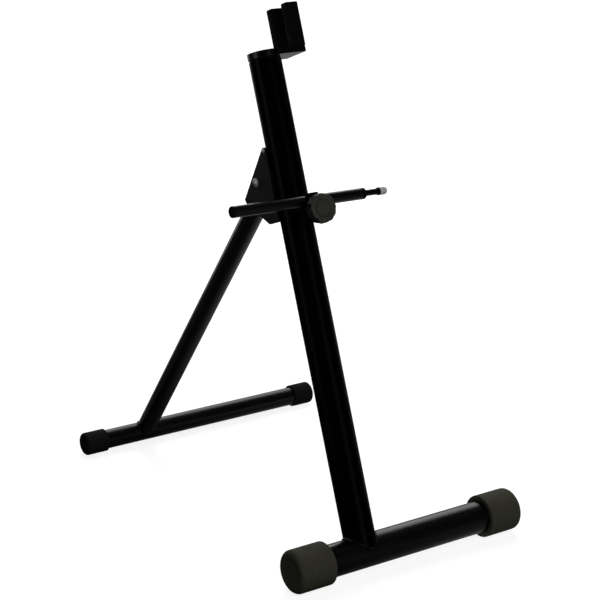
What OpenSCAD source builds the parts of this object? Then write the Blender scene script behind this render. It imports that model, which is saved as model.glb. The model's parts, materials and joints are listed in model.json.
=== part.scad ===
// Folding single-post stand. A post leans back from a wide front foot, and a strut
// with a rear foot of its own folds flat behind it. A cross bar slides in a knob
// clamp on the post, with a rod sliding inside it, and the head has two prongs.

/* [Post] */
// Outer radius of the post tube
post_r = 22.2; // [20:0.1:25]
// Wall of the post and front foot tubes
post_wall = 2; // [1.5:0.1:3]
// Lean of the post from vertical, in degrees
post_lean = 20; // [17:0.5:23]
// Length of the post, from the front foot's axis to the tube's top end
post_top = 675; // [650:0.5:720]

/* [Front foot] */
// Outer radius of the front foot tube
front_r = 22.5; // [20.5:0.1:25]
// Length of the front foot over its end caps
front_len = 378; // [340:1:420]
// Distance from the front foot's left end to the post's axis
front_left = 117; // [100:1:118]
// Outer radius of a front end cap
front_cap_r = 30; // [28:0.5:34]
// Length of a front end cap
front_cap_len = 55; // [45:1:60]

/* [Rear foot] */
// Outer radius of the rear foot tube
rear_r = 15; // [14.5:0.1:16]
// Length of the rear foot over its end caps
rear_len = 434; // [380:1:460]
// Distance from the rear foot's left end to the strut's axis
rear_left = 110.5; // [95:1:118]
// Outer radius of a rear end cap
rear_cap_r = 18; // [17.5:0.5:20]
// Length of a rear end cap
rear_cap_len = 37; // [30:1:45]
// Distance on the ground between the two foot axes
foot_spacing = 586; // [570:1:600]

/* [Strut] */
// Outer radius of the strut tube
strut_r = 14.6; // [12:0.1:15]
// Wall of the strut and rear foot tubes
strut_wall = 1.6; // [1.2:0.1:2]
// Position of the pivot along the post
pivot_h = 517.5; // [505:0.5:530]
// Distance of the pivot behind the post's axis
pivot_q = 44.5; // [43:0.5:46]
// Length of the strut beyond the pivot
heel = 14; // [12:0.5:14]

/* [Hinge bracket] */
// Thickness of a hinge plate
plate_t = 3; // [2:0.5:4]
// Distance from the post's centre plane to the inner face of a hinge plate
plate_in = 21.3; // [21:0.1:22]
// Radius of the pivot bolt's shank
bolt_r = 4; // [3:0.5:5]
// Radius of the pivot bolt's head
bolt_head_r = 6.5; // [6:0.5:8]
// Radius of a rivet's shank
rivet_r = 2.5; // [2:0.1:3]
// Radius of the pin that the open strut rests on
stop_r = 2.5; // [2:0.1:2.6]

/* [Cross bar] */
// Outer radius of the cross bar
bar_r = 7.8; // [7:0.1:8.5]
// Wall of the cross bar
bar_wall = 1.5; // [1:0.1:2]
// Reach of the cross bar to the left of the post's axis
bar_left = 123.5; // [118:1:140]
// Reach of the cross bar to the right of the post's axis
bar_right = 89; // [85:1:110]
// Position of the cross bar along the post
bar_h = 475.8; // [474:0.1:477]
// Droop of the cross bar to the right, in degrees
bar_droop = 1; // [0:0.1:1.5]
// Distance of the cross bar's axis in front of the post's axis
bar_n = 40; // [39:0.5:42]

/* [Sliding rod] */
// Radius of the sliding rod
rod_r = 4.2; // [3:0.1:4.4]
// Length of bare rod outside the bar
rod_out = 23; // [21:1:30]
// Travel of the rod out of the bar
rod_travel = 60; // [40:1:65]
// Radius of the rod's end tip
tip_r = 5.4; // [4.8:0.1:6]
// Length of the rod's end tip
tip_len = 12.5; // [9:0.5:15]

/* [Knob clamp] */
// Width of the clamp across the post
clamp_w = 16; // [15:0.5:26]
// Position of the clamp's lower edge along the post
clamp_low = 447; // [440:1:449]
// Position of the clamp's upper edge along the post
clamp_high = 486; // [486:0.5:492]
// Radius of the knob
knob_r = 19.9; // [18:0.1:21]
// Thickness of the knob
knob_t = 15; // [12:0.5:18]
// Number of finger hollows round the knob
knob_hollows = 12; // [6:1:14]
// Position of the knob's axis along the post
knob_h = 462.5; // [459:0.5:464]
// Radius of the knob's stud
stud_r = 3.95; // [3.5:0.05:4]

/* [Head] */
// Thickness of the head plate
head_t = 8.6; // [6:0.1:10]
// Reach of the head plate to the right of the post's axis
head_reach = 52.5; // [50:0.5:56]
// Width of the head plate's tongue
head_w = 49; // [46:0.5:52]
// Height of a prong above the head plate
prong_len = 60; // [50:1:70]
// Size of a prong sleeve across the tongue
prong_t = 13; // [11:0.5:15]
// Size of a prong sleeve along the tongue
prong_w = 20; // [17:0.5:21]

/* [Hidden] */
$fn = 72;
eps = 0.05;          // radial running clearance
rest_gap = 0.3;      // gap left where one body rests on another
bead = 2.2;          // leg of a weld bead on the upright tube
bead_low = 2.8;      // leg of a weld bead on the foot tube
fine = 180;          // sides of a circle that bounds a thin bead

// origin: on the ground, under the middle of the whole stand
mid_x = (rear_len - rear_left - max(bar_left, front_left)) / 2;
mid_y = (foot_spacing + rear_cap_r - front_cap_r) / 2;

// pivot in the side view, and the strut that it fixes
pivot_y = pivot_h * sin(post_lean) + pivot_q * cos(post_lean);
pivot_z = front_cap_r + pivot_h * cos(post_lean) - pivot_q * sin(post_lean);
strut_dy = foot_spacing - pivot_y;
strut_dz = pivot_z - rear_cap_r;
strut_lean = atan2(strut_dy, strut_dz);
strut_len = sqrt(strut_dy * strut_dy + strut_dz * strut_dz);
open_angle = post_lean + strut_lean;

// stop pin under the strut's heel, measured like the pivot
stop_arm = 10;
stop_dist = strut_r + stop_r + rest_gap;
stop_h = pivot_h + stop_arm * cos(open_angle) - stop_dist * sin(open_angle);
stop_q = pivot_q - stop_arm * sin(open_angle) - stop_dist * cos(open_angle);

// hinge plate: outline as [behind the post, along the post]
plate_front = 6.3;
plate_low = 457.5;
rivet_top = [10.4, 556];
rivet_bottom = [14, 480];
plate_outline = [[plate_front, plate_low], [30, plate_low], [77, 492.5], [80, 499.5],
                 [14.2, 558], [plate_front, 557]];
plate_out = plate_in + plate_t;
sleeve_r = 8;
sleeve_gap = 0.2;
rivet_head_r = 3.5;

// cross bar and rod
bush_flange = 6;
bush_len = 12;
plug_flange = 3;
rod_stop_len = 6;
rod_inner = bar_right - bush_flange - bush_len - rod_travel - rod_stop_len - 0.5;
rod_end = bar_right + rod_out;
tip_collar_len = 2;

// clamp, in front of the post
split_gap = 1;
jaw_front = 51.5;
washer_t = 0.8;
knob_back = jaw_front + washer_t + rest_gap;
knob_recess_r = 12;
knob_recess = 2;
knob_hub_r = 9;
knob_hub = 2.5;

// head
spigot_flange = 2.5;
spigot_len = 28;
head_low = post_top + spigot_flange;
head_top = head_low + head_t;
prong_x = head_reach + 1 - prong_w / 2;
prong_n = head_w / 2 + 0.5 - prong_t / 2;
core_w = 12;
core_t = 6;

// ---- frames ----

// ground frame: x along the feet from the post's plane, y back from the front foot
module ground() { translate([-mid_x, -mid_y, 0]) children(); }

// post frame: z up the post from the front foot's axis, y behind the post
module on_post() { ground() translate([0, 0, front_cap_r]) rotate([-post_lean, 0, 0]) children(); }

// strut frame: z up the strut from the rear foot's axis
module on_strut() {
  ground() translate([0, foot_spacing, rear_cap_r]) rotate([strut_lean, 0, 0]) children();
}

// bar frame: z along the bar, to the right
module on_bar() {
  on_post() translate([0, -bar_n, bar_h]) rotate([0, 90 + bar_droop, 0]) children();
}

// knob frame: z forward, out of the post
module on_knob() { on_post() translate([0, 0, knob_h]) rotate([90, 0, 0]) children(); }

// ---- shared shapes ----

module along_x(length) { rotate([0, 90, 0]) translate([0, 0, -length / 2]) children(); }

module pipe(r_out, r_in, length) {
  difference() {
    cylinder(r = r_out, h = length);
    translate([0, 0, -1]) cylinder(r = r_in, h = length + 2);
  }
}

module rounded_square(w, d, r) {
  square([w - 2 * r, d], center = true);
  square([w, d - 2 * r], center = true);
  for (x = [-1, 1], y = [-1, 1]) translate([x * (w / 2 - r), y * (d / 2 - r)]) circle(r = r);
}

// disc whose far edge is rounded
module rounded_disc(r, length, edge) {
  rotate_extrude() {
    square([r - edge, length]);
    square([r, length - edge]);
    intersection() {
      translate([r - edge, length - edge]) circle(r = edge);
      square([r + 1, length + 1]);
    }
  }
}

// cap of height h over a disc of radius r
module dome(r, h) {
  ball = (r * r + h * h) / (2 * h);
  intersection() {
    translate([0, 0, h - ball]) sphere(r = ball);
    cylinder(r = r, h = h);
  }
}

// end cap that points along +z, with its mouth at z = 0
module end_cap(r, length, bore_r, bore_depth, edge, lip) {
  difference() {
    rounded_disc(r, length, edge);
    translate([0, 0, -1]) cylinder(r = bore_r, h = bore_depth + 1);
    translate([0, 0, -eps]) rotate_extrude()
      polygon([[r - lip, 0], [r + 1, 0], [r + 1, lip + 1]]);
  }
}

// weld bead where a tube of radius r_up stands on a tube of radius r_down along x
module saddle_bead(r_up, r_down) {
  difference() {
    intersection() {
      cylinder(r = r_up + bead, h = 2 * r_down, $fn = fine);
      along_x(4 * r_up) cylinder(r = r_down + bead_low, h = 4 * r_up, $fn = fine);
    }
    translate([0, 0, -1]) cylinder(r = r_up, h = 2 * r_down + 2, $fn = fine);
    along_x(6 * r_up) cylinder(r = r_down, h = 6 * r_up, $fn = fine);
  }
}

// ---- front foot and post ----

front_end = 11;      // thickness of a front cap beyond its tube
module front_foot_tube() {
  color("black") ground() translate([front_end - front_left, 0, front_cap_r]) rotate([0, 90, 0])
    pipe(front_r, front_r - post_wall, front_len - 2 * front_end);
}

module front_cap() {
  end_cap(front_cap_r, front_cap_len, front_r, front_cap_len - front_end, 7, 1.5);
}

module front_cap_left() {
  color("dimgray") ground() translate([front_cap_len - front_left, 0, front_cap_r])
    rotate([0, -90, 0]) front_cap();
}

module front_cap_right() {
  color("dimgray") ground()
    translate([front_len - front_left - front_cap_len, 0, front_cap_r])
      rotate([0, 90, 0]) front_cap();
}

insert_r = 6;
module post_tube() {
  color("black") on_post() difference() {
    cylinder(r = post_r, h = post_top);
    translate([0, 0, -1]) cylinder(r = post_r - post_wall, h = post_top + 2);
    along_x(6 * post_r) cylinder(r = front_r, h = 6 * post_r);
    for (p = [rivet_top, rivet_bottom]) translate([0, p[0], p[1]])
      along_x(4 * post_r) cylinder(r = rivet_r, h = 4 * post_r);
    translate([0, 0, knob_h]) rotate([90, 0, 0]) cylinder(r = insert_r, h = 2 * post_r);
  }
}

module post_weld() { color("black") on_post() saddle_bead(post_r, front_r); }

// ---- head ----

module head_spigot() {
  color("silver") on_post() difference() {
    union() {
      translate([0, 0, post_top]) cylinder(r = post_r - 1, h = spigot_flange);
      translate([0, 0, post_top - spigot_len])
        cylinder(r = post_r - post_wall - eps, h = spigot_len + 1);
    }
    translate([0, 0, post_top - spigot_len - 1])
      cylinder(r = post_r - post_wall - 3, h = spigot_len - 2);
  }
}

module head_plate() {
  tongue_from = 8;
  tongue = head_reach - tongue_from;
  color("black") on_post() translate([0, 0, head_low]) linear_extrude(head_t) {
    circle(r = post_r + 0.5);
    translate([tongue_from + tongue / 2, 0]) rounded_square(tongue, head_w, 1);
  }
}

// side is -1 for the front prong and 1 for the rear one
module prong_core(side) {
  color("gray") on_post() translate([prong_x, side * prong_n, head_top])
    translate([-core_w / 2, -core_t / 2, 0]) cube([core_w, core_t, prong_len - 4]);
}

module prong_sleeve(side) {
  color("black") on_post() translate([prong_x, side * prong_n, head_top]) difference() {
    linear_extrude(prong_len) rounded_square(prong_w, prong_t, 1.2);
    translate([-core_w / 2, -core_t / 2, -1]) cube([core_w, core_t, prong_len - 3]);
  }
}

module prong_core_front() { prong_core(-1); }
module prong_core_rear() { prong_core(1); }
module prong_sleeve_front() { prong_sleeve(-1); }
module prong_sleeve_rear() { prong_sleeve(1); }

// ---- hinge bracket ----

// plate whose inner face is at x = from
module hinge_plate(from) {
  color("black") on_post() difference() {
    translate([from, 0, 0]) rotate([90, 0, 90]) linear_extrude(plate_t) {
      polygon(plate_outline);
      translate(rivet_top) circle(r = rivet_top[0] - plate_front);
    }
    for (p = [rivet_top, rivet_bottom]) translate([0, p[0], p[1]])
      along_x(4 * post_r) cylinder(r = rivet_r, h = 4 * post_r);
    translate([0, pivot_q, pivot_h]) along_x(4 * post_r) cylinder(r = bolt_r, h = 4 * post_r);
    translate([0, stop_q, stop_h]) along_x(4 * post_r) cylinder(r = stop_r, h = 4 * post_r);
  }
}

module hinge_plate_left() { hinge_plate(-plate_out); }
module hinge_plate_right() { hinge_plate(plate_in); }

module hinge_rivets() {
  color("silver") on_post() for (p = [rivet_top, rivet_bottom]) translate([0, p[0], p[1]]) {
    along_x(2 * plate_out) cylinder(r = rivet_r, h = 2 * plate_out);
    for (s = [-1, 1]) translate([s * plate_out, 0, 0]) rotate([0, s * 90, 0])
      dome(rivet_head_r, 1.8);
  }
}

module stop_pin() {
  color("black") on_post() translate([0, stop_q, stop_h])
    along_x(2 * plate_out) cylinder(r = stop_r, h = 2 * plate_out);
}

nut_h = 6.5;
washer_h = 1.6;
module pivot_bolt() {
  color("silver") on_post() translate([-plate_out, pivot_q, pivot_h]) {
    rotate([0, 90, 0]) cylinder(r = bolt_r, h = 2 * plate_out + washer_h + nut_h + 1.5);
    rotate([0, -90, 0]) difference() {
      dome(bolt_head_r, 3.4);
      for (t = [45, 135]) rotate([0, 0, t]) translate([-3.4, -0.7, 1.4]) cube([6.8, 1.4, 4]);
    }
  }
}

module pivot_washer() {
  color("silver") on_post() translate([plate_out, pivot_q, pivot_h])
    rotate([0, 90, 0]) pipe(8, bolt_r, washer_h);
}

module pivot_nut() {
  color("silver") on_post() translate([plate_out + washer_h, pivot_q, pivot_h])
    rotate([0, 90, 0]) difference() {
      union() {
        cylinder(r = 7.5, h = nut_h - 2, $fn = 6);
        cylinder(r = 6, h = nut_h);
      }
      translate([0, 0, -1]) cylinder(r = bolt_r, h = nut_h + 2);
    }
}

// ---- knob clamp ----

clamp_mid = (clamp_low + clamp_high) / 2 - knob_h;
module clamp_block(from, to) {
  difference() {
    translate([0, clamp_mid, from]) linear_extrude(to - from)
      rounded_square(clamp_w, clamp_high - clamp_low, 3);
    translate([0, bar_h - knob_h, bar_n]) rotate([0, 0, -bar_droop]) along_x(2 * clamp_w)
      cylinder(r = bar_r + eps, h = 2 * clamp_w);
    translate([0, 0, from - 1]) cylinder(r = stud_r + eps, h = to - from + 2);
  }
}

module clamp_saddle() {
  color("black") on_knob() difference() {
    clamp_block(19.7, bar_n - split_gap / 2);
    rotate([90, 0, 0]) translate([0, 0, -100]) cylinder(r = post_r + eps, h = 200);
  }
}

module clamp_jaw() { color("black") on_knob() clamp_block(bar_n + split_gap / 2, jaw_front); }

module clamp_washer() {
  color("silver") on_knob() translate([0, 0, jaw_front])
    pipe(clamp_w / 2 - 0.2, stud_r + eps, washer_t);
}

insert_from = 13;
insert_to = 21.2;
module clamp_insert() {
  color("silver") on_knob() translate([0, 0, insert_from])
    pipe(insert_r, stud_r + eps, insert_to - insert_from);
}

// ---- knob ----

module knob_grip() {
  hollow_r = 4.5;
  hollow_at = knob_r + 3.7;
  color("dimgray") on_knob() translate([0, 0, knob_back]) difference() {
    union() {
      cylinder(r = knob_hub_r, h = knob_hub + 1);
      translate([0, 0, knob_hub]) rounded_disc(knob_r, knob_t, 2);
    }
    for (i = [0 : knob_hollows - 1]) rotate([0, 0, (i + 0.5) * 360 / knob_hollows])
      translate([hollow_at, 0, knob_hub - 1]) cylinder(r = hollow_r, h = knob_t + 2);
    translate([0, 0, knob_hub + knob_t - knob_recess])
      cylinder(r = knob_recess_r, h = knob_recess + 1);
    translate([0, 0, -1]) cylinder(r = stud_r, h = 9);
  }
}

module knob_cover() {
  color("dimgray") on_knob() translate([0, 0, knob_back + knob_hub + knob_t - knob_recess])
    rounded_disc(knob_recess_r - 0.3, knob_recess + 0.4, 0.6);
}

stud_from = 14;
module knob_stud() {
  color("silver") on_knob() translate([0, 0, stud_from])
    cylinder(r = stud_r, h = knob_back + 8 - stud_from);
}

// ---- strut and rear foot ----

module strut_tube() {
  color("black") on_strut() difference() {
    cylinder(r = strut_r, h = strut_len + heel);
    translate([0, 0, -1]) cylinder(r = strut_r - strut_wall, h = strut_len + heel + 2);
    along_x(6 * strut_r) cylinder(r = rear_r, h = 6 * strut_r);
    translate([0, 0, strut_len]) along_x(4 * strut_r) cylinder(r = sleeve_r, h = 4 * strut_r);
  }
}

module pivot_sleeve() {
  length = 2 * (plate_in - sleeve_gap);
  color("black") on_strut() translate([0, 0, strut_len])
    along_x(length) pipe(sleeve_r, bolt_r + eps, length);
}

module strut_plug() {
  color("black") on_strut() translate([0, 0, strut_len + sleeve_r + 0.5])
    cylinder(r = strut_r - strut_wall, h = heel - sleeve_r - 0.5);
}

module strut_weld() { color("black") on_strut() saddle_bead(strut_r, rear_r); }

rear_end = 5;        // thickness of a rear cap beyond its tube
module rear_foot_tube() {
  color("black") ground() translate([rear_end - rear_left, foot_spacing, rear_cap_r])
    rotate([0, 90, 0]) pipe(rear_r, rear_r - strut_wall, rear_len - 2 * rear_end);
}

module rear_cap() { end_cap(rear_cap_r, rear_cap_len, rear_r, rear_cap_len - rear_end, 4, 0.8); }

module rear_cap_left() {
  color("black") ground() translate([rear_cap_len - rear_left, foot_spacing, rear_cap_r])
    rotate([0, -90, 0]) rear_cap();
}

module rear_cap_right() {
  color("black") ground()
    translate([rear_len - rear_left - rear_cap_len, foot_spacing, rear_cap_r])
      rotate([0, 90, 0]) rear_cap();
}

// ---- cross bar and sliding rod ----

module cross_bar() {
  color("black") on_bar() translate([0, 0, plug_flange - bar_left])
    pipe(bar_r, bar_r - bar_wall, bar_left + bar_right - plug_flange - bush_flange);
}

module bar_plug() {
  plug_len = 10;
  color("black") on_bar() translate([0, 0, plug_flange - bar_left]) difference() {
    union() {
      cylinder(r = bar_r - bar_wall, h = plug_len);
      rotate([180, 0, 0]) rounded_disc(bar_r, plug_flange, 0.8);
    }
    translate([0, 0, -plug_flange - 1]) cylinder(r = bar_r - 2.2, h = 2.2);
  }
}

module bar_bush() {
  color("black") on_bar() translate([0, 0, bar_right - bush_flange]) difference() {
    union() {
      translate([0, 0, -bush_len]) cylinder(r = bar_r - bar_wall, h = bush_len);
      rounded_disc(bar_r, bush_flange, 1.4);
    }
    translate([0, 0, -bush_len - 1])
      cylinder(r = rod_r + eps, h = bush_len + bush_flange + 2);
  }
}

module slide_rod() {
  color("gray") on_bar() translate([0, 0, rod_inner])
    cylinder(r = rod_r, h = rod_end + tip_collar_len + 6 - rod_inner);
}

module rod_stop() {
  color("gray") on_bar() translate([0, 0, rod_inner])
    pipe(bar_r - bar_wall - 2 * eps, rod_r, rod_stop_len);
}

module tip_collar() {
  color("black") on_bar() translate([0, 0, rod_end]) pipe(tip_r, rod_r, tip_collar_len);
}

module tip_cap() {
  color("lightgray") on_bar() translate([0, 0, rod_end + tip_collar_len]) difference() {
    rounded_disc(tip_r, tip_len, 3);
    translate([0, 0, -1]) cylinder(r = rod_r, h = 7);
  }
}

front_foot_tube();
front_cap_left();
front_cap_right();
post_tube();
post_weld();
head_spigot();
head_plate();
prong_core_front();
prong_core_rear();
prong_sleeve_front();
prong_sleeve_rear();
hinge_plate_left();
hinge_plate_right();
hinge_rivets();
stop_pin();
pivot_bolt();
pivot_washer();
pivot_nut();
clamp_saddle();
clamp_jaw();
clamp_washer();
clamp_insert();
strut_tube();
pivot_sleeve();
strut_plug();
strut_weld();
rear_foot_tube();
rear_cap_left();
rear_cap_right();
cross_bar();
bar_plug();
bar_bush();
slide_rod();
rod_stop();
tip_collar();
tip_cap();
knob_grip();
knob_cover();
knob_stud();
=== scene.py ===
"""Looks for the folding single-post stand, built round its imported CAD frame."""
import json
import math

import bpy
from mathutils import Matrix, Vector


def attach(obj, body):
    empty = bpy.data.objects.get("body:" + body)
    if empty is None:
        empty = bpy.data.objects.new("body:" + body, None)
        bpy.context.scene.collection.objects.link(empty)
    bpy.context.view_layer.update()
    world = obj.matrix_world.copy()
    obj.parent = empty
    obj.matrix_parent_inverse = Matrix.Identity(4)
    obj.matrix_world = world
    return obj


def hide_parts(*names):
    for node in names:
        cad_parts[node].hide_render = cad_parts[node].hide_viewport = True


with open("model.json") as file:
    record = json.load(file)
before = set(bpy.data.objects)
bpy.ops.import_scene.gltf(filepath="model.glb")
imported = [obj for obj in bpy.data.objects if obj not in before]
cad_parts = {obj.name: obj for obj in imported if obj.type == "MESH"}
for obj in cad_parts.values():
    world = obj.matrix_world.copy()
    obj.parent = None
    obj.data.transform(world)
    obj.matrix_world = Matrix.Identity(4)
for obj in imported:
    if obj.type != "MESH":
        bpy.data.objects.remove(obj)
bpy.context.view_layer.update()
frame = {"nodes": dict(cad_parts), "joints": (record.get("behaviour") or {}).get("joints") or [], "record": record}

# ---- the CAD's own frames, in millimetres turned to metres ----
MM = 0.001
LEAN = math.radians(20.0)         # the post's lean
FOOT_AXIS = (-100.0, -287.0, 30.0)  # where the post's axis meets the front foot's
REAR_AXIS = (-100.0, 299.0, 18.0)   # where the strut's axis meets the rear foot's

PIVOT = next(j for j in frame["joints"] if j["name"] == "strut_fold")["pos_m"]
STRUT_LEAN = math.atan2(REAR_AXIS[1] * MM - PIVOT[1], PIVOT[2] - REAR_AXIS[2] * MM)


def move(x, y, z):
    return Matrix.Translation((x * MM, y * MM, z * MM))


def turn(degrees, axis):
    return Matrix.Rotation(math.radians(degrees), 4, axis)


POST = move(*FOOT_AXIS) @ Matrix.Rotation(-LEAN, 4, "X")
STRUT = move(*REAR_AXIS) @ Matrix.Rotation(STRUT_LEAN, 4, "X")
ALONG_X = turn(90, "Y")
AGAINST_X = turn(-90, "Y")
BAR_H, BAR_N, BAR_DROOP = 475.8, 40.0, 1.0
KNOB_H = 462.5
BAR = POST @ move(0, -BAR_N, BAR_H) @ turn(90 + BAR_DROOP, "Y")
KNOB = POST @ move(0, 0, KNOB_H) @ turn(90, "X")


# ---- mesh helpers ----
def mesh_piece(name, verts, faces, matrix):
    mesh = bpy.data.meshes.new(name)
    mesh.from_pydata([(matrix @ Vector((x * MM, y * MM, z * MM)))[:] for x, y, z in verts],
                     [], faces)
    mesh.validate()
    for p in mesh.polygons:
        p.use_smooth = True
    mesh.set_sharp_from_angle(angle=math.radians(32))
    obj = bpy.data.objects.new(name, mesh)
    bpy.context.scene.collection.objects.link(obj)
    return obj


def arc(r, z, radius, start, end, steps):
    """Points on an arc round (r, z), from one angle to the other, in degrees."""
    out = []
    for i in range(steps + 1):
        a = math.radians(start + (end - start) * i / steps)
        out.append((r + radius * math.cos(a), z + radius * math.sin(a)))
    return out


def lathe(name, profile, matrix, segments=128, shape=None):
    """Turns an open profile of (r, z) that starts and ends on the axis, or a closed one.
    shape(r, z, angle) may change a point's radius and height."""
    verts, faces, rings = [], [], []
    for r, z in profile:
        if r < 1e-6:
            rings.append([len(verts)])
            verts.append((0.0, 0.0, z))
            continue
        ring = []
        for k in range(segments):
            a = 2 * math.pi * k / segments
            rr, zz = shape(r, z, a) if shape else (r, z)
            ring.append(len(verts))
            verts.append((rr * math.cos(a), rr * math.sin(a), zz))
        rings.append(ring)
    closed = len(rings[0]) > 1
    pairs = list(zip(rings, rings[1:])) + ([(rings[-1], rings[0])] if closed else [])
    for a, b in pairs:
        for k in range(segments):
            n = (k + 1) % segments
            if len(a) == 1:
                faces.append((a[0], b[n], b[k]))
            elif len(b) == 1:
                faces.append((a[k], a[n], b[0]))
            else:
                faces.append((a[k], a[n], b[n], b[k]))
    return mesh_piece(name, verts, [f[::-1] for f in faces], matrix)


def rounded_ring(w, d, r, steps=6):
    """Points round a rectangle of w by d with corners of radius r."""
    out = []
    for cx, cy, a0 in ((1, 1, 0), (-1, 1, 90), (-1, -1, 180), (1, -1, 270)):
        for i in range(steps + 1):
            a = math.radians(a0 + 90 * i / steps)
            out.append((cx * (w / 2 - r) + r * math.cos(a), cy * (d / 2 - r) + r * math.sin(a)))
    return out


def loft(name, rings, matrix):
    """Skins closed rings of equal length, and fills the first and last."""
    n = len(rings[0])
    verts = [p for ring in rings for p in ring]
    faces = [tuple(range(n))[::-1]]
    for i in range(len(rings) - 1):
        a, b = i * n, (i + 1) * n
        faces += [(a + k, a + (k + 1) % n, b + (k + 1) % n, b + k) for k in range(n)]
    faces.append(tuple(range((len(rings) - 1) * n, len(rings) * n)))
    return mesh_piece(name, verts, faces, matrix)


def sweep_closed(name, path, radii, matrix, sides=10):
    """A closed tube along a loop of points, with a radius at each."""
    count, verts, faces = len(path), [], []
    for i, p in enumerate(path):
        along = (Vector(path[(i + 1) % count]) - Vector(path[i - 1])).normalized()
        out = Vector((p[0], p[1], 0)).normalized()
        up = along.cross(out).normalized()
        out = up.cross(along).normalized()
        for k in range(sides):
            a = 2 * math.pi * k / sides
            verts.append((Vector(p) + radii[i] * (math.cos(a) * out + math.sin(a) * up))[:])
    for i in range(count):
        j = (i + 1) % count
        for k in range(sides):
            m = (k + 1) % sides
            faces.append((i * sides + k, i * sides + m, j * sides + m, j * sides + k))
    return mesh_piece(name, verts, faces, matrix)


# ---- materials ----
def build_material(name, dark, light, rough, spec=0.5, grain=300.0, speck=0.0, bump=0.15,
                   bump_scale=900.0, metal=0.0, stretch=(1, 1, 1), side=None):
    """A procedural surface: mottled colour, uneven roughness, fine bump and pale dust specks, and, when side is
    given, painted shade on what faces away from an axis.
    """
    m = bpy.data.materials.new(name)
    m.use_nodes = True
    nt = m.node_tree
    nodes, links = nt.nodes, nt.links
    shader = nodes["Principled BSDF"]
    shader.inputs["Metallic"].default_value = metal
    shader.inputs["Specular IOR Level"].default_value = spec
    coords = nodes.new("ShaderNodeTexCoord")
    mapping = nodes.new("ShaderNodeMapping")
    mapping.inputs["Scale"].default_value = stretch
    links.new(coords.outputs["Object"], mapping.inputs["Vector"])

    def noise(scale, detail):
        n = nodes.new("ShaderNodeTexNoise")
        n.inputs["Scale"].default_value = scale
        n.inputs["Detail"].default_value = detail
        links.new(mapping.outputs["Vector"], n.inputs["Vector"])
        return n

    def ramp(source, low, high, a, b):
        r = nodes.new("ShaderNodeValToRGB")
        r.color_ramp.elements[0].position = low
        r.color_ramp.elements[1].position = high
        r.color_ramp.elements[0].color = (*a, 1)
        r.color_ramp.elements[1].color = (*b, 1)
        links.new(source.outputs["Fac"], r.inputs["Fac"])
        return r

    mottle = ramp(noise(grain, 4.0), 0.3, 0.7, dark, light)
    colour = mottle.outputs["Color"]
    if speck:
        dust = ramp(noise(grain * 4.3, 2.0), 0.70, 0.78, (0, 0, 0), (speck,) * 3)
        add = nodes.new("ShaderNodeMixRGB")
        add.blend_type = "ADD"
        add.inputs["Fac"].default_value = 1.0
        links.new(colour, add.inputs["Color1"])
        links.new(dust.outputs["Color"], add.inputs["Color2"])
        colour = add.outputs["Color"]
    if side:
        # painted shade: what faces away from the axis is darker, as though it lay in shade; side gives the axis
        # and the shaded colour's share
        facing = nodes.new("ShaderNodeVectorMath")
        facing.operation = "DOT_PRODUCT"
        facing.inputs[1].default_value = side[0]
        links.new(coords.outputs["Normal"], facing.inputs[0])
        painted_side_shade = nodes.new("ShaderNodeMapRange")
        painted_side_shade.inputs["From Min"].default_value = 0.05
        painted_side_shade.inputs["From Max"].default_value = 0.35
        painted_side_shade.inputs["To Min"].default_value = side[1]
        painted_side_shade.inputs["To Max"].default_value = 1.0
        links.new(facing.outputs["Value"], painted_side_shade.inputs["Value"])
        scale = nodes.new("ShaderNodeVectorMath")
        scale.operation = "SCALE"
        links.new(colour, scale.inputs[0])
        links.new(painted_side_shade.outputs["Result"], scale.inputs["Scale"])
        colour = scale.outputs["Vector"]
    links.new(colour, shader.inputs["Base Color"])
    uneven = nodes.new("ShaderNodeMapRange")
    uneven.inputs["From Min"].default_value = 0.3
    uneven.inputs["From Max"].default_value = 0.7
    uneven.inputs["To Min"].default_value = rough[0]
    uneven.inputs["To Max"].default_value = rough[1]
    links.new(noise(grain * 0.23, 5.0).outputs["Fac"], uneven.inputs["Value"])
    links.new(uneven.outputs["Result"], shader.inputs["Roughness"])
    relief = nodes.new("ShaderNodeBump")
    relief.inputs["Strength"].default_value = bump
    relief.inputs["Distance"].default_value = 0.0002
    links.new(noise(bump_scale, 3.0).outputs["Fac"], relief.inputs["Height"])
    links.new(relief.outputs["Normal"], shader.inputs["Normal"])
    return m


# the knob's axis, from which the knob's painted side shade is measured
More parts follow.
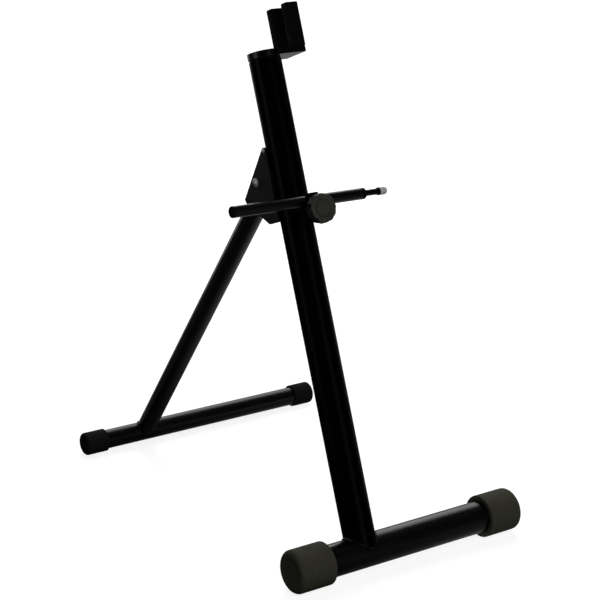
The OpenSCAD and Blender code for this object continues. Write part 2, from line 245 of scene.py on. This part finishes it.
KNOB_AXIS = tuple(KNOB.to_3x3() @ Vector((0, 0, 1)))
MATERIALS = {
    "post_gloss": build_material("post_gloss", (0.0001,) * 3, (0.0003,) * 3, (0.24, 0.30),
                                 spec=0.03, grain=60, bump=0.03, bump_scale=700),
    "black_coat": build_material("black_coat", (0.0004,) * 3, (0.0008,) * 3, (0.24, 0.32),
                                 spec=0.5, grain=90, speck=0.002, bump=0.08,
                                 bump_scale=1100),
    "plate_coat": build_material("plate_coat", (0.0010,) * 3, (0.0018,) * 3, (0.32, 0.42),
                                 spec=0.4, grain=120, speck=0.003, bump=0.14,
                                 bump_scale=1300),
    "front_rubber": build_material("front_rubber", (0.039, 0.038, 0.0275),
                                   (0.047, 0.046, 0.034), (0.62, 0.78), spec=0.09, grain=180,
                                   speck=0.010, bump=0.3, bump_scale=1500),
    "rear_rubber": build_material("rear_rubber", (0.0090,) * 3, (0.0110,) * 3, (0.45, 0.6),
                                  spec=0.01, grain=180, speck=0.004, bump=0.25,
                                  bump_scale=1500),
    "prong_rubber": build_material("prong_rubber", (0.0019, 0.0019, 0.0018),
                                   (0.0028, 0.0028, 0.0027), (0.60, 0.78), spec=0.07,
                                   grain=260, speck=0.004, bump=0.3, bump_scale=1800),
    "head_coat": build_material("head_coat", (0.0003,) * 3, (0.0006,) * 3, (0.26, 0.36),
                                spec=0.30, grain=90, bump=0.06, bump_scale=1100),
    "zinc_steel": build_material("zinc_steel", (0.42, 0.43, 0.45), (0.62, 0.62, 0.62),
                                 (0.34, 0.50), grain=900, bump=0.12, bump_scale=3000,
                                 metal=0.7),
    "rod_steel": build_material("rod_steel", (0.0018,) * 3, (0.0030,) * 3, (0.30, 0.42),
                                spec=0.12, grain=400, bump=0.08, bump_scale=2500,
                                stretch=(0.08, 1, 1)),
    "spigot_metal": build_material("spigot_metal", (0.0010, 0.0010, 0.0011),
                                   (0.0020, 0.0020, 0.0022), (0.35, 0.5), spec=0.05, grain=500,
                                   bump=0.1, bump_scale=2400),
    "black_plastic": build_material("black_plastic", (0.0022,) * 3, (0.0030,) * 3,
                                    (0.42, 0.56), spec=0.05, grain=240, speck=0.003,
                                    bump=0.3, bump_scale=2200),
    # the knob's sides get painted shade: what faces away from its axis is darkened to 0.42 of the face's colour
    "knob_plastic": build_material("knob_plastic", (0.0290, 0.0290, 0.0260),
                                   (0.0350, 0.0350, 0.0320),
                                   (0.30, 0.42), spec=0.25, grain=320, speck=0.01, bump=0.22,
                                   bump_scale=2400, side=(KNOB_AXIS, 0.42)),
    "tip_plastic": build_material("tip_plastic", (0.42, 0.42, 0.415), (0.50, 0.50, 0.495),
                                  (0.42, 0.55), spec=0.4, grain=500, bump=0.12,
                                  bump_scale=2600),
}

# ---- CAD nodes that stay: finish and softened edges ----
SLOTS = {row["node"]: row["material_slot"] for row in frame["record"]["subparts"]}
SPECIAL = {"post_tube": "post_gloss", "hinge_plate_left": "plate_coat",
           "hinge_plate_right": "plate_coat", "head_plate": "head_coat",
           "tip_collar": "rear_rubber"}
EDGES = {"head_plate": 0.8, "hinge_plate_left": 1.4, "hinge_plate_right": 1.4,
         "clamp_saddle": 0.9, "clamp_jaw": 0.9, "pivot_nut": 0.5, "tip_collar": 0.5,
         "pivot_washer": 0.3, "clamp_washer": 0.2, "strut_plug": 0.6}


def dress(obj, material):
    obj.data.materials.clear()
    obj.data.materials.append(MATERIALS[material])


for node_name, node_obj in frame["nodes"].items():
    dress(node_obj, SPECIAL.get(node_name, SLOTS[node_name]))
    if node_name in EDGES:
        bevel = node_obj.modifiers.new("edges", "BEVEL")
        bevel.width = EDGES[node_name] * MM
        bevel.segments = 3
        bevel.limit_method = "ANGLE"
        bevel.angle_limit = math.radians(40)


def piece(obj, body, slot, *nodes, material=None):
    dress(obj, material or slot)
    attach(obj, body)
    if nodes:
        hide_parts(*nodes)
    return obj


# ---- end caps: radius, length, bore radius and depth, end rounding, mouth lip ----
FRONT_CAP = (30, 55, 22.5, 44, 7, 1.5)
REAR_CAP = (18, 37, 15, 32, 4, 0.8)
FRONT_MOUTHS = (-162, 106)        # where the left and right caps' mouths are along the feet
REAR_MOUTHS = (-173.5, 186.5)


def end_cap(name, size, matrix, node_name, slot, body):
    radius, length, bore, depth, edge, lip = size
    profile = [(0, depth), (bore, depth), (bore, lip), (bore + 0.5, 0.15), (bore + 1.0, 0)]
    profile += arc(radius - lip, lip, lip, -90, 0, 6)
    profile += [(radius, lip + 2.6)] + arc(radius + 0.15, lip + 3.4, 0.45, 230, 130, 4)
    profile += [(radius, lip + 4.3), (radius, length * 0.5), (radius, length - edge - 0.5)]
    profile += arc(radius - edge, length - edge, edge, 0, 90, 14)
    flat = radius - edge
    profile += [(flat * 0.92, length), (flat * 0.84, length - 0.12), (flat * 0.80, length - 0.45),
                (flat * 0.74, length - 0.5), (flat * 0.4, length - 0.45), (0, length - 0.4)]
    obj = lathe(name, profile, matrix, 144)
    return piece(obj, body, slot, node_name)


for foot, size, axis_at, mouths, slot, body in (
        ("front", FRONT_CAP, FOOT_AXIS, FRONT_MOUTHS, "front_rubber", "frame"),
        ("rear", REAR_CAP, REAR_AXIS, REAR_MOUTHS, "rear_rubber", "strut")):
    for end, mouth, along in (("left", mouths[0], AGAINST_X), ("right", mouths[1], ALONG_X)):
        end_cap(f"{foot}_cap_{end}_moulded", size, move(mouth, *axis_at[1:]) @ along,
                f"{foot}_cap_{end}", slot, body)


# ---- weld beads ----
POST_R, FRONT_R = 22.2, 22.5
STRUT_R, REAR_R = 14.6, 15


def weld(name, r_up, r_down, matrix, body, node_name):
    steps, ripple = 240, 30
    path, radii = [], []
    for i in range(steps):
        a = 2 * math.pi * i / steps
        x, y = r_up * math.cos(a), r_up * math.sin(a)
        z = math.sqrt(r_down * r_down - y * y)
        path.append((x * 1.015, y * 1.015, z + 0.3))
        radii.append(1.75 + 0.22 * abs(math.sin(a * ripple)) + 0.12 * math.sin(a * 5 + 1))
    return piece(sweep_closed(name, path, radii, matrix), body, "black_coat", node_name,
                 material="head_coat")


weld("post_weld_bead", POST_R, FRONT_R, POST, "frame", "post_weld")
weld("strut_weld_bead", STRUT_R, REAR_R, STRUT, "strut", "strut_weld")


# ---- prong sleeves ----
PRONG_X, PRONG_N, HEAD_TOP = 43.5, 18.5, 686.1


def sleeve(name, side, node_name):
    height, w, d, r = 60.0, 20.0, 13.0, 1.8
    levels = [(0.0, 0.35), (0.5, 0.0), (3.0, 0.0)]
    levels += [(3.0 + 1.5 * i, 0.0) for i in range(1, 35)]
    levels += [(height - r + r * math.sin(math.radians(t)), r - r * math.cos(math.radians(t)))
               for t in range(0, 91, 15)]
    rings = []
    for z, inset in levels:
        ring = []
        for x, y in rounded_ring(w - 2 * inset, d - 2 * inset, max(r - inset, 0.3)):
            inner = side * y < -(d / 2 - 0.4)   # the face that looks into the gap
            if inner and 6 < z < 54:
                y += side * 0.35 * max(0.0, math.sin(z * 2 * math.pi / 6.0))
            ring.append((x, y, z))
        rings.append(ring)
    base = POST @ move(PRONG_X, side * PRONG_N, HEAD_TOP)
    return piece(loft(name, rings, base), "frame", "prong_rubber", node_name)


sleeve("prong_sleeve_front_moulded", -1, "prong_sleeve_front")
sleeve("prong_sleeve_rear_moulded", 1, "prong_sleeve_rear")

# ---- knob ----
KNOB_BACK, KNOB_T, KNOB_R, HOLLOWS = 52.6, 15.0, 19.9, 12
DISC = KNOB_BACK + 2.5            # the disc starts in front of a small hub


def lobes(r, z, a):
    near = (a / (2 * math.pi) * HOLLOWS) % 1.0 - 0.5
    depth = 0.7 * math.exp(-(near * 360 / HOLLOWS / 7.0) ** 2)
    weight = min(1.0, max(0.0, (r - 14.0) / 5.0))
    rib = 0.10 * math.cos(a * 96) * min(1.0, max(0.0, (r - 19.3))) * (2.5 < z - DISC < 12)
    return r - depth * weight + rib, z


grip = [(3.95, KNOB_BACK + 8), (3.95, KNOB_BACK + 0.6), (4.5, KNOB_BACK), (8.6, KNOB_BACK)]
grip += [(9.0, KNOB_BACK + 0.4), (9.0, DISC + 0.6), (9.6, DISC + 1.2), (18.2, DISC + 1.2)]
grip += arc(KNOB_R - 1.4, DISC + 2.6, 1.4, -80, 0, 5)
grip += [(KNOB_R, DISC + 2.6 + i * 1.5) for i in range(1, 7)]
grip += arc(KNOB_R - 2.2, DISC + KNOB_T - 2.2, 2.2, 0, 80, 7)
grip += [(KNOB_R - 4.6, DISC + KNOB_T), (13.0, DISC + KNOB_T - 0.1)]
grip += arc(12.6, DISC + KNOB_T - 0.6, 0.5, 70, 180, 4)
grip += [(12.05, DISC + KNOB_T - 2.0), (0, DISC + KNOB_T - 2.0)]
grip = [(0, KNOB_BACK + 8)] + grip
piece(lathe("knob_grip_moulded", grip, KNOB, 384, lobes), "knob", "knob_plastic", "knob_grip")

COVER_Z = DISC + KNOB_T - 2.0
cover = [(0, COVER_Z), (11.5, COVER_Z)] + arc(11.1, COVER_Z + 1.7, 0.6, 0, 80, 5)
cover += [(9.6, COVER_Z + 2.38), (9.3, COVER_Z + 2.15), (8.9, COVER_Z + 2.15),
          (8.6, COVER_Z + 2.38), (4.0, COVER_Z + 2.4), (0, COVER_Z + 2.4)]
piece(lathe("knob_cover_moulded", cover, KNOB, 128), "knob", "knob_plastic", "knob_cover")

# ---- cross bar ends and rod tip ----
BAR_LEFT, BAR_RIGHT = -123.5, 89.0
plug = [(0, 13), (6.3, 13), (6.3, 3.0), (7.8, 3.0)] + arc(6.9, 0.9, 0.9, 0, -90, 6)
plug += [(6.2, 0.0), (5.8, 0.25), (5.6, 1.1), (5.2, 1.2), (1.6, 1.2), (1.2, 0.95), (0, 0.9)]
piece(lathe("bar_plug_moulded", plug, BAR @ move(0, 0, BAR_LEFT), 96), "bar",
      "black_plastic", "bar_plug")

bush = [(4.25, -12), (6.3, -12), (6.3, 0), (7.8, 0), (7.8, 3.0), (7.55, 3.35), (7.55, 3.75),
        (7.8, 4.1)]
bush += arc(6.3, 4.5, 1.5, 0, 90, 8) + [(5.1, 6.0), (4.7, 5.8), (4.25, 5.2)]
piece(lathe("bar_bush_moulded", bush, BAR @ move(0, 0, BAR_RIGHT - 6), 96), "bar",
      "black_plastic", "bar_bush")

ROD_OUT, COLLAR_LEN = 23.0, 2.0
TIP_FROM = BAR_RIGHT + ROD_OUT + COLLAR_LEN
tip = [(4.2, 7), (4.2, 0), (4.9, 0)] + arc(4.9, 0.5, 0.5, -90, 0, 4)
tip += [(5.4, 3.0), (5.4, 8.6)] + arc(1.6, 8.7, 3.8, 0, 80, 12) + [(1.0, 12.5), (0, 12.5)]
tip = [(0, 7)] + tip
piece(lathe("tip_cap_moulded", tip, BAR @ move(0, 0, TIP_FROM), 72), "rod", "tip_plastic",
      "tip_cap")

# ---- floor and light ----
scene = bpy.context.scene
scene.view_settings.view_transform = "Standard"

FLOOR_HALF = 14.0
# distances in metres, and the strength of the floor's own glow at each
GLOW_BY_DISTANCE = (0.5, 1.6, 0.83, 1.0)
# painted pool of light: for every ray but the camera's the floor glows, brighter to the right of the stand,
# standing in for lit floor seen in reflections; along X, from, to, and the strength at each
PAINTED_POOL_ALONG_X = (-0.25, 0.30, 0.028, 0.34)
# strength of the painted pool of light along Y, which the floor glows with in reflections and bounce light, from
# the curve's start to its end
PAINTED_POOL_ENDS = ((0.0, 0.15), (1.0, 0.64))
PAINTED_POOL_ALONG_Y = ((0.08, 0.15), (0.17, 0.25), (0.20, 0.50), (0.24, 0.85), (0.33, 0.55),
                     (0.65, 0.50), (0.76, 0.16), (0.795, 0.40), (0.84, 0.95))
floor_mesh = bpy.data.meshes.new("floor")
floor_mesh.from_pydata([(-FLOOR_HALF, -FLOOR_HALF, 0), (FLOOR_HALF, -FLOOR_HALF, 0),
                        (FLOOR_HALF, FLOOR_HALF, 0), (-FLOOR_HALF, FLOOR_HALF, 0)], [],
                       [(0, 1, 2, 3)])
floor = bpy.data.objects.new("floor", floor_mesh)
scene.collection.objects.link(floor)
floor.location.z = -0.0005

floor_mat = bpy.data.materials.new("floor_paper_and_painted_pool")
floor_mat.use_nodes = True
nt = floor_mat.node_tree
nt.nodes.clear()


def fade(source, low, high, at_low, at_high):
    """A smooth change of strength with a coordinate of the floor, in metres."""
    node = nt.nodes.new("ShaderNodeMapRange")
    node.interpolation_type = "SMOOTHSTEP"
    for socket, value in (("From Min", low), ("From Max", high), ("To Min", at_low),
                          ("To Max", at_high)):
        node.inputs[socket].default_value = value
    nt.links.new(source, node.inputs["Value"])
    return node.outputs["Result"]


out = nt.nodes.new("ShaderNodeOutputMaterial")
path_info = nt.nodes.new("ShaderNodeLightPath")
seen = nt.nodes.new("ShaderNodeAddShader")
glow = nt.nodes.new("ShaderNodeEmission")
paper = nt.nodes.new("ShaderNodeBsdfDiffuse")
paper.inputs["Color"].default_value = (0.40, 0.40, 0.40, 1)
place = nt.nodes.new("ShaderNodeTexCoord")
split = nt.nodes.new("ShaderNodeSeparateXYZ")
nt.links.new(place.outputs["Object"], split.inputs["Vector"])
reach = nt.nodes.new("ShaderNodeVectorMath")
reach.operation = "LENGTH"
nt.links.new(place.outputs["Object"], reach.inputs[0])
nt.links.new(fade(reach.outputs["Value"], *GLOW_BY_DISTANCE), glow.inputs["Strength"])
painted_light_pool = nt.nodes.new("ShaderNodeMath")
painted_light_pool.operation = "MULTIPLY"
nt.links.new(fade(split.outputs["X"], *PAINTED_POOL_ALONG_X), painted_light_pool.inputs[0])
stops = nt.nodes.new("ShaderNodeFloatCurve")
curve = stops.mapping.curves[0]
curve.points[0].location, curve.points[1].location = PAINTED_POOL_ENDS
for at, level in PAINTED_POOL_ALONG_Y:
    curve.points.new(at, level)
stops.mapping.update()
across = nt.nodes.new("ShaderNodeMath")
across.operation = "ADD"
across.use_clamp = True
across.inputs[1].default_value = 0.5
nt.links.new(split.outputs["Y"], across.inputs[0])
nt.links.new(across.outputs["Value"], stops.inputs["Value"])
double = nt.nodes.new("ShaderNodeMath")
double.operation = "MULTIPLY"
double.inputs[1].default_value = 2.0
nt.links.new(stops.outputs["Value"], double.inputs[0])
nt.links.new(double.outputs["Value"], painted_light_pool.inputs[1])
# the floor's painted glow: a pool of light seen only in reflections and bounce light, never by the camera
unseen_painted_glow = nt.nodes.new("ShaderNodeEmission")
nt.links.new(painted_light_pool.outputs["Value"], unseen_painted_glow.inputs["Strength"])
either = nt.nodes.new("ShaderNodeMixShader")
nt.links.new(glow.outputs[0], seen.inputs[0])
nt.links.new(paper.outputs[0], seen.inputs[1])
nt.links.new(path_info.outputs["Is Camera Ray"], either.inputs[0])
nt.links.new(unseen_painted_glow.outputs[0], either.inputs[1])
nt.links.new(seen.outputs[0], either.inputs[2])
nt.links.new(either.outputs[0], out.inputs["Surface"])
floor_mesh.materials.append(floor_mat)

world = bpy.data.worlds.new("studio")
scene.world = world
world.use_nodes = True
nt = world.node_tree
nt.nodes.clear()
out = nt.nodes.new("ShaderNodeOutputWorld")
path_info = nt.nodes.new("ShaderNodeLightPath")
white = nt.nodes.new("ShaderNodeBackground")
white.inputs["Strength"].default_value = 1.0
ambient = nt.nodes.new("ShaderNodeBackground")
ambient.inputs["Color"].default_value = (1, 1, 1, 1)
ambient.inputs["Strength"].default_value = 0.02
either = nt.nodes.new("ShaderNodeMixShader")
white.inputs["Color"].default_value = (1, 1, 1, 1)
nt.links.new(path_info.outputs["Is Camera Ray"], either.inputs[0])
nt.links.new(ambient.outputs[0], either.inputs[1])
nt.links.new(white.outputs[0], either.inputs[2])
nt.links.new(either.outputs[0], out.inputs["Surface"])

CAM_YAW, CAM_PITCH, CAM_ROLL = 33.44, 17.47, -0.34
CAM_AT = (-1.4009, -1.9991, 1.0375)
SENSOR, FOCAL_SHARE = 36.0, 1741.0 / 600.0   # focal length as a share of the sensor's width
TO_CAMERA = Vector((-math.sin(math.radians(CAM_YAW)), -math.cos(math.radians(CAM_YAW)), 0))
TO_RIGHT = Vector((math.cos(math.radians(CAM_YAW)), -math.sin(math.radians(CAM_YAW)), 0))
STAND = Vector((-0.08, -0.13, 0.42))   # the middle of the upright parts


def softbox(name, side, up, distance, width, height, radiance, glossy=True, diffuse=True,
            aim=STAND):
    """An area light at an angle to the right of the camera's line and above the horizon."""
    light = bpy.data.lights.new(name, "AREA")
    light.shape = "RECTANGLE"
    light.size, light.size_y = width, height
    light.energy = radiance * math.pi * width * height
    obj = bpy.data.objects.new(name, light)
    s, e = math.radians(side), math.radians(up)
    out_dir = (TO_CAMERA * math.cos(s) + TO_RIGHT * math.sin(s)) * math.cos(e)
    out_dir = out_dir + Vector((0, 0, math.sin(e)))
    obj.location = aim + out_dir * distance
    obj.rotation_euler = out_dir.to_track_quat("Z", "Y").to_euler()
    obj.visible_camera = False
    obj.visible_glossy = glossy
    obj.visible_diffuse = diffuse
    scene.collection.objects.link(obj)
    return obj


softbox("top_box", 172, 52, 2.6, 2.6, 1.7, 2.6, glossy=False)
softbox("back_wall", 180, 27, 2.6, 3.0, 1.9, 1.7, diffuse=False)
softbox("overhead", 120, 60, 2.6, 2.6, 2.2, 0.03, diffuse=False)
softbox("strip_left_back", -137, 0, 2.6, 0.7, 2.8, 1.3, diffuse=False)
softbox("strip_left_front", -65, 6, 2.6, 0.8, 2.8, 1.8, diffuse=False)
softbox("strip_right_front", 37, 6, 2.6, 0.85, 2.3, 1.35, diffuse=False)
softbox("strip_right_back", 112, 4, 2.6, 0.7, 2.4, 0.3, diffuse=False)
softbox("fill", 18, 26, 3.2, 2.6, 2.2, 3.2, glossy=False)

sun = bpy.data.lights.new("sun", "SUN")
sun.energy = 0.62
sun.angle = math.radians(20)
sun_obj = bpy.data.objects.new("sun", sun)
sun_obj.rotation_euler = Vector((0.45, 0.8, 0.9)).to_track_quat("Z", "Y").to_euler()
sun_obj.visible_glossy = False
scene.collection.objects.link(sun_obj)

# ---- camera ----
cam_data = bpy.data.cameras.new("camera")
cam_data.sensor_width = SENSOR
cam_data.lens = FOCAL_SHARE * SENSOR
cam_data.shift_x = 0.0742
cam_data.shift_y = 0.0291
cam_data.clip_end = 60.0
camera = bpy.data.objects.new("camera", cam_data)
camera.matrix_world = (Matrix.Translation(CAM_AT) @ turn(-CAM_YAW, "Z")
                       @ turn(90 - CAM_PITCH, "X") @ turn(CAM_ROLL, "Z"))
scene.collection.objects.link(camera)
scene.camera = camera

bpy.context.view_layer.update()
